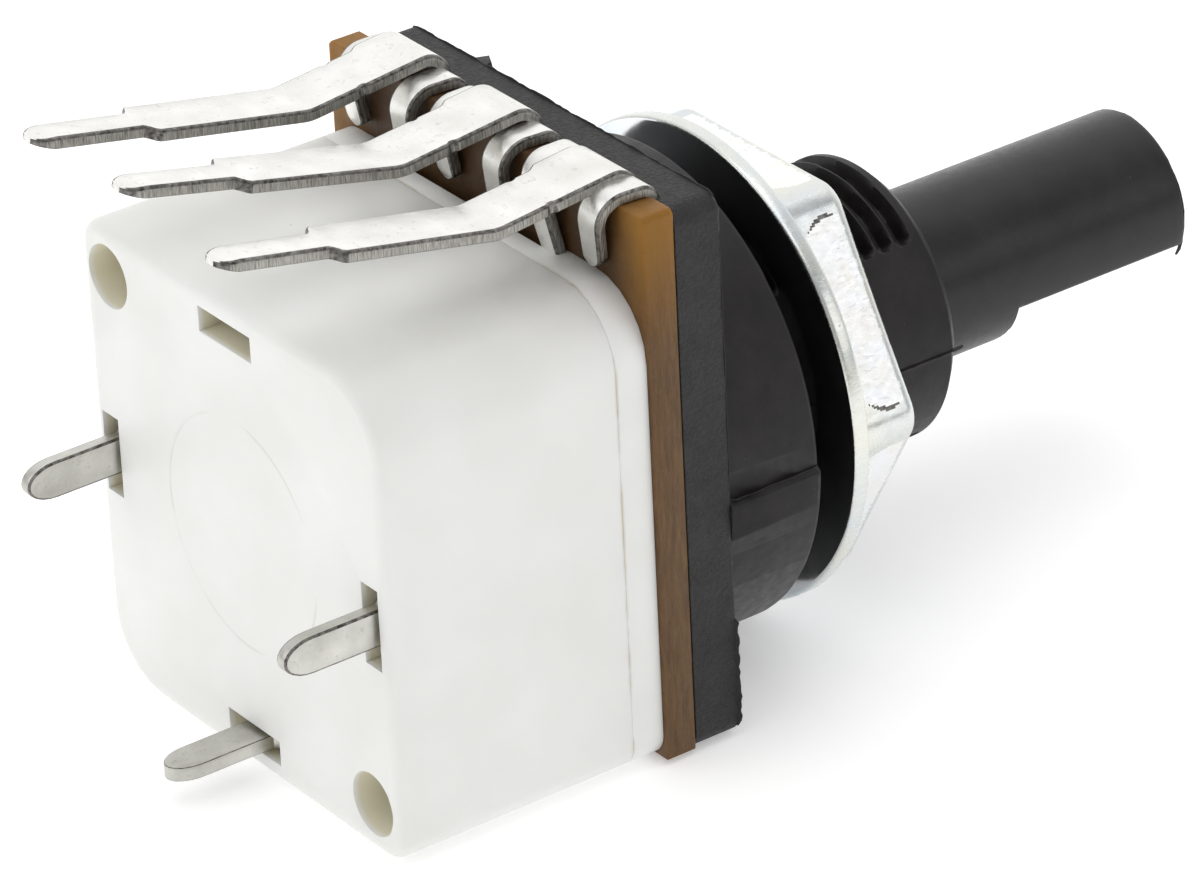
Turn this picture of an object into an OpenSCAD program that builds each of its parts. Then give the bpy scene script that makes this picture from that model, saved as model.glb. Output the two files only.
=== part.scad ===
// Panel potentiometer, 16 mm class, with a rotary changeover switch on the back.
// Origin: centre of the panel mounting face, on the shaft axis.
// The shaft points along -Y, the solder pins along +Y, and the track terminals are at the top, +Z.

/* [Shaft and bush] */
// Diameter of the control shaft
shaft_d = 6; // [5:0.1:6]
// Diameter of the journal that runs in the bush
journal_d = 6.4; // [6.4:0.1:6.8]
// Length of the shaft in front of the mounting face
shaft_reach = 19.8; // [14:0.2:40]
// Length of the flat at the end of the shaft
flat_len = 7.2; // [4:0.2:10]
// Depth of the flat, measured from the round side
flat_depth = 1.5; // [0.5:0.1:1.8]
// Direction that the flat faces, in degrees from +X towards +Z
flat_angle = -103.5; // [-180:0.5:180]
// Major diameter of the bush thread
bush_d = 10; // [9:0.1:10]
// Length of the bush in front of the mounting face
bush_len = 8.4; // [6:0.2:12]

/* [Front housing] */
// Diameter of the round drum behind the panel
drum_d = 16.6; // [16:0.1:17]
// Depth of the drum
drum_depth = 3.6; // [3.4:0.1:5]
// Width of the plate and of the track board
plate_w = 16.7; // [16:0.1:18]
// Height of the plate and board above the shaft axis
plate_top = 10.9; // [10.5:0.1:12]
// Thickness of the plate
plate_t = 1.8; // [1.6:0.1:2.4]

/* [Track board and terminals] */
// Thickness of the resin-bonded paper board
board_t = 1.15; // [1:0.05:1.6]
// Distance between two neighbouring track terminals
terminal_pitch = 5.08; // [5:0.02:5.1]
// Thickness of the tinned terminal strip
terminal_t = 0.4; // [0.3:0.05:0.45]
// Width of the terminal blade
blade_w = 2.25; // [2:0.05:2.3]
// Width of the solder tip
tip_w = 1.3; // [1:0.05:1.5]

/* [Switch] */
// Width of the switch housing
box_w = 16.4; // [16:0.1:17]
// Height of the switch housing
box_h = 16.8; // [16:0.1:17]
// Depth of the switch housing behind its cover
box_depth = 9.05; // [9:0.05:12]
// Thickness of the switch cover
cover_t = 1.2; // [1:0.1:1.6]
// Thickness of the housing walls
wall = 1.1; // [0.9:0.1:1.3]
// Length of the switch pins behind the housing
pin_reach = 3.4; // [2.5:0.1:6]
// Width of a switch pin
pin_w = 1.3; // [1:0.1:1.5]

/* [Mounting nut] */
// Distance across the flats of the hexagon
nut_af = 14; // [12:0.5:14]
// Thickness of the hexagon
nut_hex_t = 2.4; // [1.6:0.1:3]
// Diameter of the round collar of the nut
collar_d = 16.8; // [15:0.1:17]
// Thickness of the collar
collar_t = 0.6; // [0.4:0.1:1]
// Gap between the drum and the nut, where the panel goes
nut_gap = 1.35; // [0.5:0.05:3]

/* [Hidden] */
$fn = 64;

// Depths behind the mounting face
plate_y = drum_depth;
board_y = plate_y + plate_t;
cover_y = board_y + board_t;
box_y = cover_y + cover_t;
rear_y = box_y + box_depth;
rear_wall = 1.2;
floor_y = rear_y - rear_wall;

// Clearances
run_fit = 0.05;
gap = 0.1;

// Front housing
front_wall = 1.3;
cavity_r = 7.3;
plate_bottom = 8.5;
plate_corner = 0.6;
half_step = 0.15;
stop_from = -109;
stop_sweep = 38;
stop_r = 5.9;
stop_end_gap = 0.1;
foot_recess = 0.45;
foot_recess_x = 7.6;
foot_recess_z = 7.85;
lead_recess_x = 5.6;
post_at = 6.7;
post_r = 1.0;
post_end = box_y + 2.1;
nib_w = 0.7;
nib_len = 0.9;

// Shaft and rotor
journal_proud = 0.05;
end_draft = 0.02;
flange_r = 4.6;
flange_t = 0.9;
flange_y = front_wall + gap;
tongue_t = 1.4;
tongue_w = 3.6;
rotor_y = flange_y + flange_t;
rotor_t = 1.1;
rotor_r = 5.7;
lug_sweep = 20;
lug_r = 7.1;
lug_from = stop_from - lug_sweep - 0.5;
hub_r = 2.4;
wiper_t = 0.15;
wiper_y = rotor_y + rotor_t;
wiper_from = 3.3;
wiper_at = lug_from + lug_sweep / 2 - 4;
track_r = 6.2;
track_w = 1.5;
track_gap = 70;
ring_r = 4.1;
ink_t = 0.1;
ink_y = board_y - ink_t;
finger_y = ink_y - 0.08;

// Board
board_bottom = 8.4;
board_corner = 0.15;
board_top = plate_top + 0.15;
board_over = 0.4;
board_hole_r = 3.0;
post_hole_r = 1.1;

// Terminals
claw_w = 1.15;
claw_x = 1.8;
foot_z = 8.0;
foot_y = board_y - terminal_t / 2;
bend_y = cover_y + 3.9;
blade_end_y = rear_y - 0.6;
tip_end_y = rear_y + 3.5;

// Switch
corner_small = 0.9;
corner_large = 2.5;
slot_w = 0.9;
slot_h = 2.9;
slot_at = 7.3;
pin_t = 0.5;
pin_at = slot_at;
blind_r = 1.1;
blind_depth = 5.8;
pillar_r = 1.9;
journal_r = 2.6;
cam_r = 3.7;
cam_y = box_y + 0.15;
cam_t = 1.1;
drive_r = 2.9;
drive_rest = 10;
drive_pin_r = 0.5;
drive_end = cam_y + cam_t + 1.3;
pivot_z = 5.5;
pivot_r = 0.8;
rocker_rest = 10.7;
rocker_y = drive_end + 0.15;
fork_t = 0.9;
arm_y = rocker_y + fork_t;
arm_t = 1.5;
arm_w = 1.3;
clip_w = 1.9;
clip_t = 0.3;
clip_y = arm_y + arm_t;
contact_z = 0;
contact_r = 0.7;
face_x = 2.3;
tab_x = 2.75;
tab_y = rear_y - 2.45;
nose_reach = 8.4;
common_y = clip_y + clip_t + 0.35;

// Materials' plain colours
black = [0.1, 0.1, 0.1];
white = [0.93, 0.93, 0.91];
tin = [0.76, 0.76, 0.74];
bronze = [0.72, 0.55, 0.32];
silver = [0.85, 0.85, 0.86];
zinc = [0.8, 0.82, 0.83];

// Moves a shape drawn in X and Y so that X is x, Y is z and the extrusion runs along +Y
module upright(y0, depth) {
  translate([0, y0, 0]) rotate([90, 0, 0]) mirror([0, 0, 1])
    linear_extrude(depth) children();
}

// A straight cylinder along +Y
module rod(r, y0, depth, x = 0, z = 0, fn = 64) {
  translate([x, y0, z]) rotate([-90, 0, 0]) cylinder(r = r, h = depth, $fn = fn);
}

// A solid of revolution about the shaft axis, from points [radius, y]
module turned(points) {
  rotate([-90, 0, 0]) rotate_extrude($fn = 96) polygon(points);
}

// A sector of a ring in the X-Z plane, angles from +X towards +Z
module sector(r0, r1, from, sweep) {
  steps = ceil(abs(sweep) / 6);
  inner = [for (i = [0:steps]) let (a = from + sweep * i / steps) [r0 * cos(a), r0 * sin(a)]];
  outer = [for (i = [steps:-1:0]) let (a = from + sweep * i / steps) [r1 * cos(a), r1 * sin(a)]];
  polygon(concat(inner, outer));
}

// One corner of the rounded rectangle: its arc's points
function corner(x, z, r, a0) = [for (i = [0:6]) [x + r * cos(a0 + 15 * i), z + r * sin(a0 + 15 * i)]];

// The outline of the switch box: two opposite corners are well rounded and two are nearly sharp
module box_outline(w, h, inset = 0) {
  x = w / 2 - inset;
  z = h / 2 - inset;
  s = max(corner_small - inset, 0.3);
  l = max(corner_large - inset, 0.3);
  polygon(concat(
    corner(x - s, z - s, s, 0), corner(-x + l, z - l, l, 90),
    corner(-x + s, -z + s, s, 180), corner(x - l, -z + l, l, 270)));
}

// The places of the two posts that lock the parts together
module at_posts() {
  for (s = [-1, 1]) translate([s * post_at, 0, s * post_at]) children();
}

// The places of the four slots in the rear wall, turned about the shaft axis
module at_slot(turn) {
  rotate([0, turn, 0]) translate([slot_at, 0, 0]) children();
}

// Unit direction of the line from point i to point i + 1
function heading(p, i) = (p[i + 1] - p[i]) / norm(p[i + 1] - p[i]);
// Offset of a polyline's point i to its left by d, mitred at the bends
function beside(p, i, d) =
  let (n = len(p) - 1)
  let (a = heading(p, max(i - 1, 0)), b = heading(p, min(i, n - 1)))
  let (m = (a + b) / norm(a + b))
  p[i] + [-m[1], m[0]] * d / (m * a);
// The outline of a strip of thickness t along a polyline
module strip(p, t) {
  n = len(p) - 1;
  polygon(concat([for (i = [0:n]) beside(p, i, t / 2)], [for (i = [n:-1:0]) beside(p, i, -t / 2)]));
}
// Points of an arc about c, from angle a0 to a1
function arc(c, r, a0, a1, n = 6) = [for (i = [0:n]) let (a = a0 + (a1 - a0) * i / n) c + r * [cos(a), sin(a)]];

// Extrudes a profile drawn with X as y and Y as z along the X axis, centred
module along_x(width, x = 0) {
  translate([x - width / 2, 0, 0]) rotate([90, 0, 90]) linear_extrude(width) children();
}

module plate_outline() {
  x = plate_w / 2;
  r = plate_corner;
  polygon(concat(
    corner(x - r, plate_top - r, r, 0), corner(-x + r, plate_top - r, r, 90),
    corner(-x + r, -plate_bottom + r, r, 180), corner(x - r, -plate_bottom + r, r, 270)));
}

module front_housing() {
  color(black) difference() {
    union() {
      upright(plate_y, plate_t) plate_outline();
      rod(drum_d / 2, 0, drum_depth + 0.1, fn = 128);
      // the lower half of the drum stands a little proud of the upper half
      intersection() {
        rod(drum_d / 2 + half_step, 0, drum_depth + 0.1, fn = 128);
        translate([-drum_d, -1, -2 * drum_d]) cube([2 * drum_d, drum_depth + 2, 2 * drum_d]);
      }
      rod(bush_d / 2, -bush_len + 0.4, bush_len, fn = 96);
      turned([[2, -bush_len], [bush_d / 2 - 0.4, -bush_len], [bush_d / 2, -bush_len + 0.4], [2, -bush_len + 0.4]]);
      at_posts() rod(post_r, board_y - 0.2, post_end - board_y + 0.2);
      translate([4.3, plate_y - nib_len, plate_top - nib_w]) cube([nib_w, nib_len + 0.1, nib_w]);
    }
    rod(journal_d / 2 + run_fit, -bush_len - 1, bush_len + front_wall + 2);
    difference() {
      rod(cavity_r, front_wall, board_y - front_wall + 0.01, fn = 128);
      upright(front_wall - 0.1, rotor_y + rotor_t - stop_end_gap - front_wall + 0.1)
        sector(stop_r, cavity_r + 0.5, stop_from, stop_sweep);
    }
    // recess for the feet of the terminals, open at the top, and a shallow one for the printed leads
    translate([-foot_recess_x, board_y - foot_recess, foot_recess_z])
      cube([2 * foot_recess_x, foot_recess + 0.01, plate_top]);
    translate([-lead_recess_x, board_y - ink_t - 0.05, 4])
      cube([2 * lead_recess_x, ink_t + 0.06, plate_top - 4.5]);
  }
}

module shaft() {
  journal_y = -bush_len - journal_proud;
  flat_y = -shaft_reach + flat_len;
  end_r = shaft_d / 2 - end_draft;
  color(black) difference() {
    union() {
      turned([[0, -shaft_reach], [end_r - 0.15, -shaft_reach], [end_r, -shaft_reach + 0.15],
        [end_r, flat_y], [shaft_d / 2, flat_y], [shaft_d / 2, journal_y], [journal_d / 2, journal_y], [journal_d / 2, flange_y],
        [flange_r, flange_y], [flange_r, rotor_y], [0, rotor_y]]);
      translate([-tongue_w / 2, rotor_y - 0.1, -tongue_t / 2])
        cube([tongue_w, cam_y + cam_t - rotor_y, tongue_t]);
    }
    rotate([0, -flat_angle, 0])
      translate([shaft_d / 2 - flat_depth, -shaft_reach - 1, -shaft_d])
        cube([shaft_d, flat_len + 1, 2 * shaft_d]);
  }
}

// The slot that the shaft's tongue drives
module tongue_slot(y0, depth) {
  translate([-tongue_w / 2 - run_fit, y0, -tongue_t / 2 - run_fit])
    cube([tongue_w + 2 * run_fit, depth, tongue_t + 2 * run_fit]);
}

module rotor() {
  color([0.85, 0.82, 0.72]) difference() {
    union() {
      rod(rotor_r, rotor_y, rotor_t, fn = 96);
      upright(rotor_y, rotor_t) sector(rotor_r - 1, lug_r, lug_from, lug_sweep);
      rod(hub_r, rotor_y, board_y - rotor_y - 0.3);
    }
    tongue_slot(rotor_y - 1, 5);
  }
}

// One bent finger of the wiper: its root lies on the rotor at z0, its tip rides on the board at z1
module finger(x, z0, z1) {
  y0 = wiper_y + wiper_t / 2;
  y1 = finger_y - wiper_t / 2;
  out = sign(z1 - z0);
  along_x(0.7, x) strip([[y0, z0], [y0 + 0.1, z0 + out * 0.4], [y1, z1], [y1 - 0.25, z1 + out * 0.3]], wiper_t);
}

module wiper() {
  rail_x = 1.3;
  rail_w = 0.6;
  heel = 6.3;
  color(bronze) rotate([0, 90 - wiper_at, 0]) union() {
    upright(wiper_y, wiper_t) difference() {
      union() {
        circle(r = wiper_from);
        translate([-rail_x - rail_w, 0]) square([2 * (rail_x + rail_w), wiper_from + 0.2]);
        for (s = [-1, 1]) translate([s * (rail_x + rail_w / 2) - rail_w / 2, -heel]) square([rail_w, heel]);
        translate([-rail_x - rail_w, -heel]) square([2 * (rail_x + rail_w), rail_w]);
      }
      circle(r = hub_r + run_fit);
    }
    for (x = [-0.5, 0.5]) finger(x, wiper_from, track_r);
    for (x = [-0.5, 0.5]) finger(x, -heel + 0.2, -ring_r);
  }
}

module switch_cam() {
  color([0.9, 0.88, 0.8]) difference() {
    union() {
      rod(journal_r, cover_y + 0.1, cam_y - cover_y);
      rod(cam_r, cam_y, cam_t);
      rotate([0, -drive_rest, 0])
        rod(drive_pin_r, cam_y + cam_t - 0.1, drive_end - cam_y - cam_t + 0.1, z = drive_r);
    }
    tongue_slot(board_y, 5);
  }
}

module track_board() {
  x = plate_w / 2;
  c = board_corner;
  left = x + board_over;
  color([0.63, 0.42, 0.13]) difference() {
    upright(board_y, board_t) polygon([
      [left, -board_bottom], [left, board_top - c], [left - c, board_top],
      [-x + c, board_top], [-x, board_top - c], [-x, -board_bottom]]);
    rod(board_hole_r, board_y - 1, board_t + 2);
    at_posts() rod(post_hole_r, board_y - 1, board_t + 2);
  }
}

module carbon_track() {
  color([0.13, 0.13, 0.14]) upright(ink_y, ink_t) sector(track_r - track_w / 2, track_r + track_w / 2, 90 + track_gap / 2, 360 - track_gap);
}

module track_end_pads() {
  color(silver) for (s = [0, 1]) mirror([s, 0, 0]) upright(ink_y, ink_t) union() {
    sector(track_r - track_w / 2, track_r + track_w / 2, 90 - track_gap / 2 + 0.4, 15);
    polygon([[2.6, 6.4], [3.9, 5.7], [terminal_pitch + 0.5, 7.2], [terminal_pitch + 0.5, 7.9],
      [terminal_pitch - 0.9, 7.9], [terminal_pitch - 0.9, 7.1]]);
  }
}

module collector_ring() {
  color(silver) upright(ink_y, ink_t) union() {
    difference() {
      circle(r = ring_r + 0.6);
      circle(r = ring_r - 0.6);
    }
    translate([-0.9, ring_r]) square([1.8, 7.9 - ring_r]);
  }
}

// The blade's middle line, as [y, z]: up the front of the board, over its edge and back
function blade_line(drop) =
  let (crest = plate_top + 0.9 - drop, low = plate_top + 0.44 - drop, r = crest - board_top - 0.01)
  concat([[foot_y, foot_z]],
    arc([foot_y + r, crest - r], r, 180, 96, 5),
    [[cover_y + 0.6, crest - 0.08], [bend_y - 0.2, low + 0.02]]);
// The rest of it, from the lower bend to the given depth
function blade_tail(y, drop, slope) = [y, plate_top + 0.44 - drop + (y - bend_y) * slope];

module terminal(x, drop, slope) {
  color(tin) union() {
    along_x(blade_w, x)
      strip(concat(blade_line(drop), [blade_tail(bend_y + 0.2, drop, slope), blade_tail(blade_end_y, drop, slope)]), terminal_t);
    along_x(tip_w, x) strip([blade_tail(blade_end_y - 0.3, drop, slope), blade_tail(tip_end_y - 0.5, drop, slope)], terminal_t);
    along_x(tip_w * 0.55, x) strip([blade_tail(tip_end_y - 0.6, drop, slope), blade_tail(tip_end_y, drop, slope)], terminal_t);
    along_x(2 * claw_x + claw_w, x) strip([[foot_y, foot_z], [foot_y, foot_z + 1.6]], terminal_t);
    for (s = [-1, 1]) claw(x + s * claw_x);
  }
}

// A claw that curls over the board's edge and grips its rear face
module claw(x) {
  top = board_top + terminal_t / 2 + 0.06;
  back = cover_y + terminal_t / 2 + 0.02;
  r = 0.25;
  along_x(claw_w, x) strip(concat([[foot_y, foot_z]],
    arc([foot_y + r, top - r], r, 180, 90), arc([back - r, top - r], r, 90, 0),
    [[back, 8.8]]), terminal_t);
}

module terminal_left() { terminal(terminal_pitch, 0.0, 0.205); }
module terminal_centre() { terminal(0, 0.05, 0.235); }
module terminal_right() { terminal(-terminal_pitch, 0.3, 0.205); }

// A hexagon with rounded corners
module hexagon(across, r) {
  c = (across / 2 - r) / cos(30);
  polygon([for (i = [0:5]) for (p = arc([c * cos(60 * i), c * sin(60 * i)], r, 60 * i - 30, 60 * i + 30, 4)) p]);
}

module mounting_nut() {
  front = -nut_gap - collar_t - nut_hex_t;
  color(zinc) difference() {
    union() {
      rod(collar_d / 2, -nut_gap - collar_t, collar_t, fn = 128);
      intersection() {
        upright(front, nut_hex_t + 0.1) hexagon(nut_af, 0.8);
        turned([[0, front], [nut_af / 2 + 0.2, front], [nut_af / 2 + 1.3, front + 0.65],
          [nut_af / 2 + 1.3, front + nut_hex_t + 0.1], [0, front + nut_hex_t + 0.1]]);
      }
    }
    rod(bush_d / 2 + run_fit, front - 1, nut_hex_t + collar_t + 2, fn = 96);
  }
}

module switch_cover() {
  color(white) difference() {
    upright(cover_y, cover_t) box_outline(box_w, box_h);
    rod(journal_r + run_fit, cover_y - 1, cover_t + 2);
    at_posts() rod(post_hole_r, cover_y - 1, cover_t + 2);
    // rebate in the top edge behind the claws; it stops short of both corners
    translate([-4.1, cover_y - 0.01, box_h / 2 - 0.9]) cube([9.6, 0.46, 2]);
  }
}

module switch_housing() {
  color(white) difference() {
    union() {
      difference() {
        upright(box_y, box_depth) box_outline(box_w, box_h);
        upright(box_y - 1, floor_y - box_y + 1) box_outline(box_w, box_h, wall);
      }
      intersection() {
        union() {
          at_posts() rod(pillar_r, box_y, box_depth - 0.5);
          at_posts() translate([-pillar_r, box_y, -pillar_r]) corner_fill();
        }
        upright(box_y, box_depth) box_outline(box_w, box_h);
      }
      rod(pivot_r, rocker_y + 0.1, rear_y - rocker_y - 0.5, z = pivot_z);
      rod(pivot_r + 0.7, clip_y + clip_t + 0.1, rear_y - clip_y - clip_t - 0.5, z = pivot_z);
      for (s = [-1, 1]) translate([s * 4.6 - 0.5, rocker_y, -box_h / 2 + 0.5])
        cube([1.0, rear_y - rocker_y - 0.5, 4.0]);
    }
    at_posts() rod(post_r + run_fit, box_y - 1, post_end - box_y + 1.2);
    at_posts() rod(blind_r, rear_y - blind_depth, blind_depth + 1);
    for (turn = [0, 90, 180, 270]) at_slot(turn)
      translate([-slot_w / 2, box_y - 1, -slot_h / 2]) cube([slot_w, box_depth + 2, slot_h]);
    // slits that hold the ends of the click spring
    for (s = [-1, 1]) translate([s * 4.6 - 0.6, rocker_y - 0.1, -4.9]) cube([1.2, 2.0, 0.3]);
  }
}

// Fills the corner outside a pillar
module corner_fill() {
  cube([2 * pillar_r, box_depth - 0.5, 2 * pillar_r]);
}

// The outline of a pin's blade seen from its flat side, with a rounded end and a wider root
module blade_outline(root, end) {
  tip = pin_w / 2;
  polygon(concat([[root, -slot_h / 2 + 0.1], [rear_y - 0.9, -slot_h / 2 + 0.1], [rear_y - 0.3, -tip]],
    [for (i = [0:12]) let (a = -90 + 15 * i) [end - tip * 1.6 + tip * 1.6 * cos(a), tip * sin(a)]],
    [[rear_y - 0.3, tip], [rear_y - 0.9, slot_h / 2 - 0.1], [root, slot_h / 2 - 0.1]]));
}

// The blade of a pin, standing in the slot on the +X side
module pin_blade(root) {
  translate([pin_at - pin_t / 2, 0, 0]) rotate([90, 0, 90]) linear_extrude(pin_t)
    blade_outline(root, rear_y + pin_reach);
}

// A throw contact's pin: the blade, an arm across the rear wall and a tab that faces the rocker
module throw_pin() {
  arm_from = tab_x - pin_t / 2;
  color(tin) union() {
    pin_blade(tab_y);
    translate([arm_from, tab_y, -1.2]) cube([pin_at - arm_from, pin_t, 2.4]);
    translate([arm_from, arm_y + 0.2, -1.2]) cube([pin_t, tab_y - arm_y, 2.4]);
  }
}

module switch_pin_left() { throw_pin(); }
module switch_pin_right() { mirror([1, 0, 0]) throw_pin(); }

module switch_pin_common() {
  color(tin) rotate([0, 90, 0]) union() {
    pin_blade(common_y);
    translate([3.0, common_y, -1.3]) cube([pin_at - 3.0, pin_t, 2.6]);
  }
}

// A stationary contact on its tab
module fixed_contact() {
  z = contact_z;
  color(silver) translate([face_x, (arm_y + clip_y) / 2, z]) rotate([0, 90, 0])
    cylinder(r = contact_r, h = tab_x - pin_t / 2 - face_x);
}

module fixed_contact_left() { fixed_contact(); }
module fixed_contact_right() { mirror([1, 0, 0]) fixed_contact(); }

module click_spring() {
  p = [[-5.1, -4.75], [-3.2, -4.75], [-2.2, -3.75], [-0.9, -3.75], [0, -3.15],
       [0.9, -3.75], [2.2, -3.75], [3.2, -4.75], [5.1, -4.75]];
  color(bronze) upright(rocker_y + 0.1, 1.4) strip(p, 0.2);
}

// Places a shape drawn for the rocker upright at its rest angle about the pivot
module on_rocker() {
  translate([0, 0, pivot_z]) rotate([0, rocker_rest, 0]) translate([0, 0, -pivot_z]) children();
}

module rocker() {
  hub = 1.5;
  nose_r = 0.5;
  color([0.25, 0.25, 0.27]) on_rocker() difference() {
    union() {
      rod(hub, rocker_y, clip_y - rocker_y, z = pivot_z);
      // fork plate that the drive pin works
      upright(rocker_y, fork_t) polygon([[-1.4, pivot_z], [-1.6, drive_r - 0.7], [-0.75, drive_r - 0.7],
        [-0.75, drive_r + 0.9], [0.75, drive_r + 0.9], [0.75, drive_r - 0.7], [1.6, drive_r - 0.7], [1.4, pivot_z]]);
      upright(arm_y, arm_t) translate([-arm_w / 2, pivot_z - nose_reach + nose_r])
        square([arm_w, nose_reach - nose_r]);
      rod(nose_r, rocker_y + 0.2, clip_y - rocker_y - 0.2, z = pivot_z - nose_reach + nose_r);
      upright(rocker_y + 0.2, clip_y - rocker_y - 0.2) translate([-nose_r, pivot_z - nose_reach + nose_r])
        square([2 * nose_r, 1.0]);
    }
    rod(pivot_r + run_fit, rocker_y - 1, clip_y - rocker_y + 2, z = pivot_z);
  }
}

module contact_clip() {
  cheek_h = 2.2;
  color(bronze) on_rocker() union() {
    upright(clip_y, clip_t) translate([-clip_w / 2, contact_z - cheek_h / 2]) square([clip_w, cheek_h]);
    upright(clip_y, clip_t) translate([-0.6, -4.9]) square([1.2, 5]);
    translate([-0.6, clip_y + clip_t - 0.05, -4.9]) cube([1.2, 0.25, 0.6]);
    for (s = [-1, 1]) translate([s * (clip_w - clip_t) / 2 - clip_t / 2, arm_y + 0.2, contact_z - cheek_h / 2])
      cube([clip_t, clip_y - arm_y, cheek_h]);
  }
}

module moving_contacts() {
  y = (arm_y + clip_y) / 2;
  color(silver) on_rocker() for (s = [0, 180]) translate([0, y, contact_z]) rotate([0, 90 + s, 0])
    translate([0, 0, clip_w / 2]) union() {
      cylinder(r = contact_r, h = 0.1);
      cylinder(r = 0.4, h = 0.18);
    }
}

front_housing();
shaft();
rotor();
wiper();
switch_cam();
track_board();
carbon_track();
track_end_pads();
collector_ring();
terminal_left();
terminal_centre();
terminal_right();
mounting_nut();
switch_cover();
switch_housing();
switch_pin_left();
switch_pin_right();
switch_pin_common();
fixed_contact_left();
fixed_contact_right();
click_spring();
rocker();
contact_clip();
moving_contacts();
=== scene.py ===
"""The looks of a panel potentiometer with a rotary switch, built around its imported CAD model."""

import math
import random

import bmesh
import bpy
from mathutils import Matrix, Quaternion, Vector


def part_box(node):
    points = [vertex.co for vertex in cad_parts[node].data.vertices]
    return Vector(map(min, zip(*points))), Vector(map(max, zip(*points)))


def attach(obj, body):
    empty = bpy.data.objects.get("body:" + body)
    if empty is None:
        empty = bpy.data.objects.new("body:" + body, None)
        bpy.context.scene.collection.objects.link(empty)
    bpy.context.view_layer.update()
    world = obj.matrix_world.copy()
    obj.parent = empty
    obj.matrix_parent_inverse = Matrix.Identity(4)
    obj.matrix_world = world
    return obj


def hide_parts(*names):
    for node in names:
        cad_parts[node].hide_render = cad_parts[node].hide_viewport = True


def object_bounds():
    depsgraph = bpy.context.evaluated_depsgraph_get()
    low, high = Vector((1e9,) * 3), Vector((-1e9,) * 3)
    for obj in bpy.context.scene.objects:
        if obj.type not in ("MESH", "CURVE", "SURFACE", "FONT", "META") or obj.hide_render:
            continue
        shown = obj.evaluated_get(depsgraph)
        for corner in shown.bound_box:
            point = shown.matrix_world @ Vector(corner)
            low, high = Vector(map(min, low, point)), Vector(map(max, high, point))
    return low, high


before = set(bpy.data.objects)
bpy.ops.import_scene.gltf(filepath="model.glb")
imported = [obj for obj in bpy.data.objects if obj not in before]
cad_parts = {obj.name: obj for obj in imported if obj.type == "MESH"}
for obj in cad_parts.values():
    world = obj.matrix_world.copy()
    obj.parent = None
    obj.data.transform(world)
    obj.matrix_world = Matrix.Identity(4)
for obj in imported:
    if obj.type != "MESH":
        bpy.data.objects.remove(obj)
cad_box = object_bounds()

MM = 0.001


# ---------------------------------------------------------------- sizes, in millimetres, read from the frame
def box_mm(node):
    """Lowest and highest corner of a CAD node, in millimetres."""
    low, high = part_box(node)
    return low / MM, high / MM


PLATE_LOW, PLATE_HIGH = box_mm("front_housing")
BOARD_LOW, BOARD_HIGH = box_mm("track_board")
COVER_LOW, COVER_HIGH = box_mm("switch_cover")
SWITCH_LOW, SWITCH_HIGH = box_mm("switch_housing")
SHAFT_LOW = box_mm("shaft")[0]
NUT_LOW, NUT_HIGH = box_mm("mounting_nut")

BUSH_END = PLATE_LOW.y
BUSH_R = 5.0
BORE_R = 3.25
PLATE_BACK = BOARD_LOW.y
PLATE_THICKNESS = 1.8
PLATE_FRONT = PLATE_BACK - PLATE_THICKNESS
PLATE_BOTTOM = -8.5
PLATE_HALF = -BOARD_LOW.x
PLATE_TOP = PLATE_HIGH.z
BOARD_BACK = BOARD_HIGH.y
SEAM = COVER_HIGH.y
REAR = SWITCH_HIGH.y
DRUM_R = 8.3
DRUM_LOWER_R = 8.45
SHAFT_R = 3.0
SHAFT_END = SHAFT_LOW.y
FLAT_LENGTH = 7.2
FLAT_START = SHAFT_END + FLAT_LENGTH
FLAT_ANGLE = math.radians(-103.5)
FLAT_DISTANCE = 1.5
TERMINAL_PITCH = 5.08
FOOT_Y = PLATE_BACK - 0.2
SHARP_EDGE = math.radians(35)


# ---------------------------------------------------------------- mesh helpers
def mesh_object(name, vertices, faces):
    """A new object from vertices in millimetres."""
    mesh = bpy.data.meshes.new(name)
    mesh.from_pydata([Vector(v) * MM for v in vertices], [], faces)
    mesh.validate()
    obj = bpy.data.objects.new(name, mesh)
    bpy.context.scene.collection.objects.link(obj)
    bm = bmesh.new()
    bm.from_mesh(mesh)
    bmesh.ops.recalc_face_normals(bm, faces=bm.faces)
    bm.to_mesh(mesh)
    bm.free()
    return obj


def loft(name, rings):
    """A closed solid through rings of equal length, with flat ends."""
    count = len(rings[0])
    vertices = [v for ring in rings for v in ring]
    faces = [tuple(range(count))[::-1]]
    for i in range(len(rings) - 1):
        a = i * count
        b = a + count
        for k in range(count):
            n = (k + 1) % count
            faces.append((a + k, a + n, b + n, b + k))
    last = (len(rings) - 1) * count
    faces.append(tuple(range(last, last + count)))
    return mesh_object(name, vertices, faces)


def tube(name, radius, y_from, y_to, count):
    """A plain round solid about the shaft axis."""
    return loft(name, [round_ring(radius, y_from, count), round_ring(radius, y_to, count)])


def round_ring(radius, y, count):
    """A ring about the shaft axis; radius is a number or a function of the angle from +X towards +Z."""
    ring = []
    for k in range(count):
        a = 2 * math.pi * k / count
        r = radius(a) if callable(radius) else radius
        ring.append((r * math.cos(a), y, r * math.sin(a)))
    return ring


def copy_of(node, name):
    """A copy of a CAD node's mesh, welded and with its flat faces whole."""
    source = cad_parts[node]
    mesh = bpy.data.meshes.new(name)
    bm = bmesh.new()
    bm.from_mesh(source.data)
    bmesh.ops.remove_doubles(bm, verts=bm.verts, dist=0.0005 * MM)
    bmesh.ops.dissolve_limit(bm, angle_limit=math.radians(0.5), verts=bm.verts, edges=bm.edges)
    bm.to_mesh(mesh)
    bm.free()
    obj = bpy.data.objects.new(name, mesh)
    bpy.context.scene.collection.objects.link(obj)
    return obj


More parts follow.
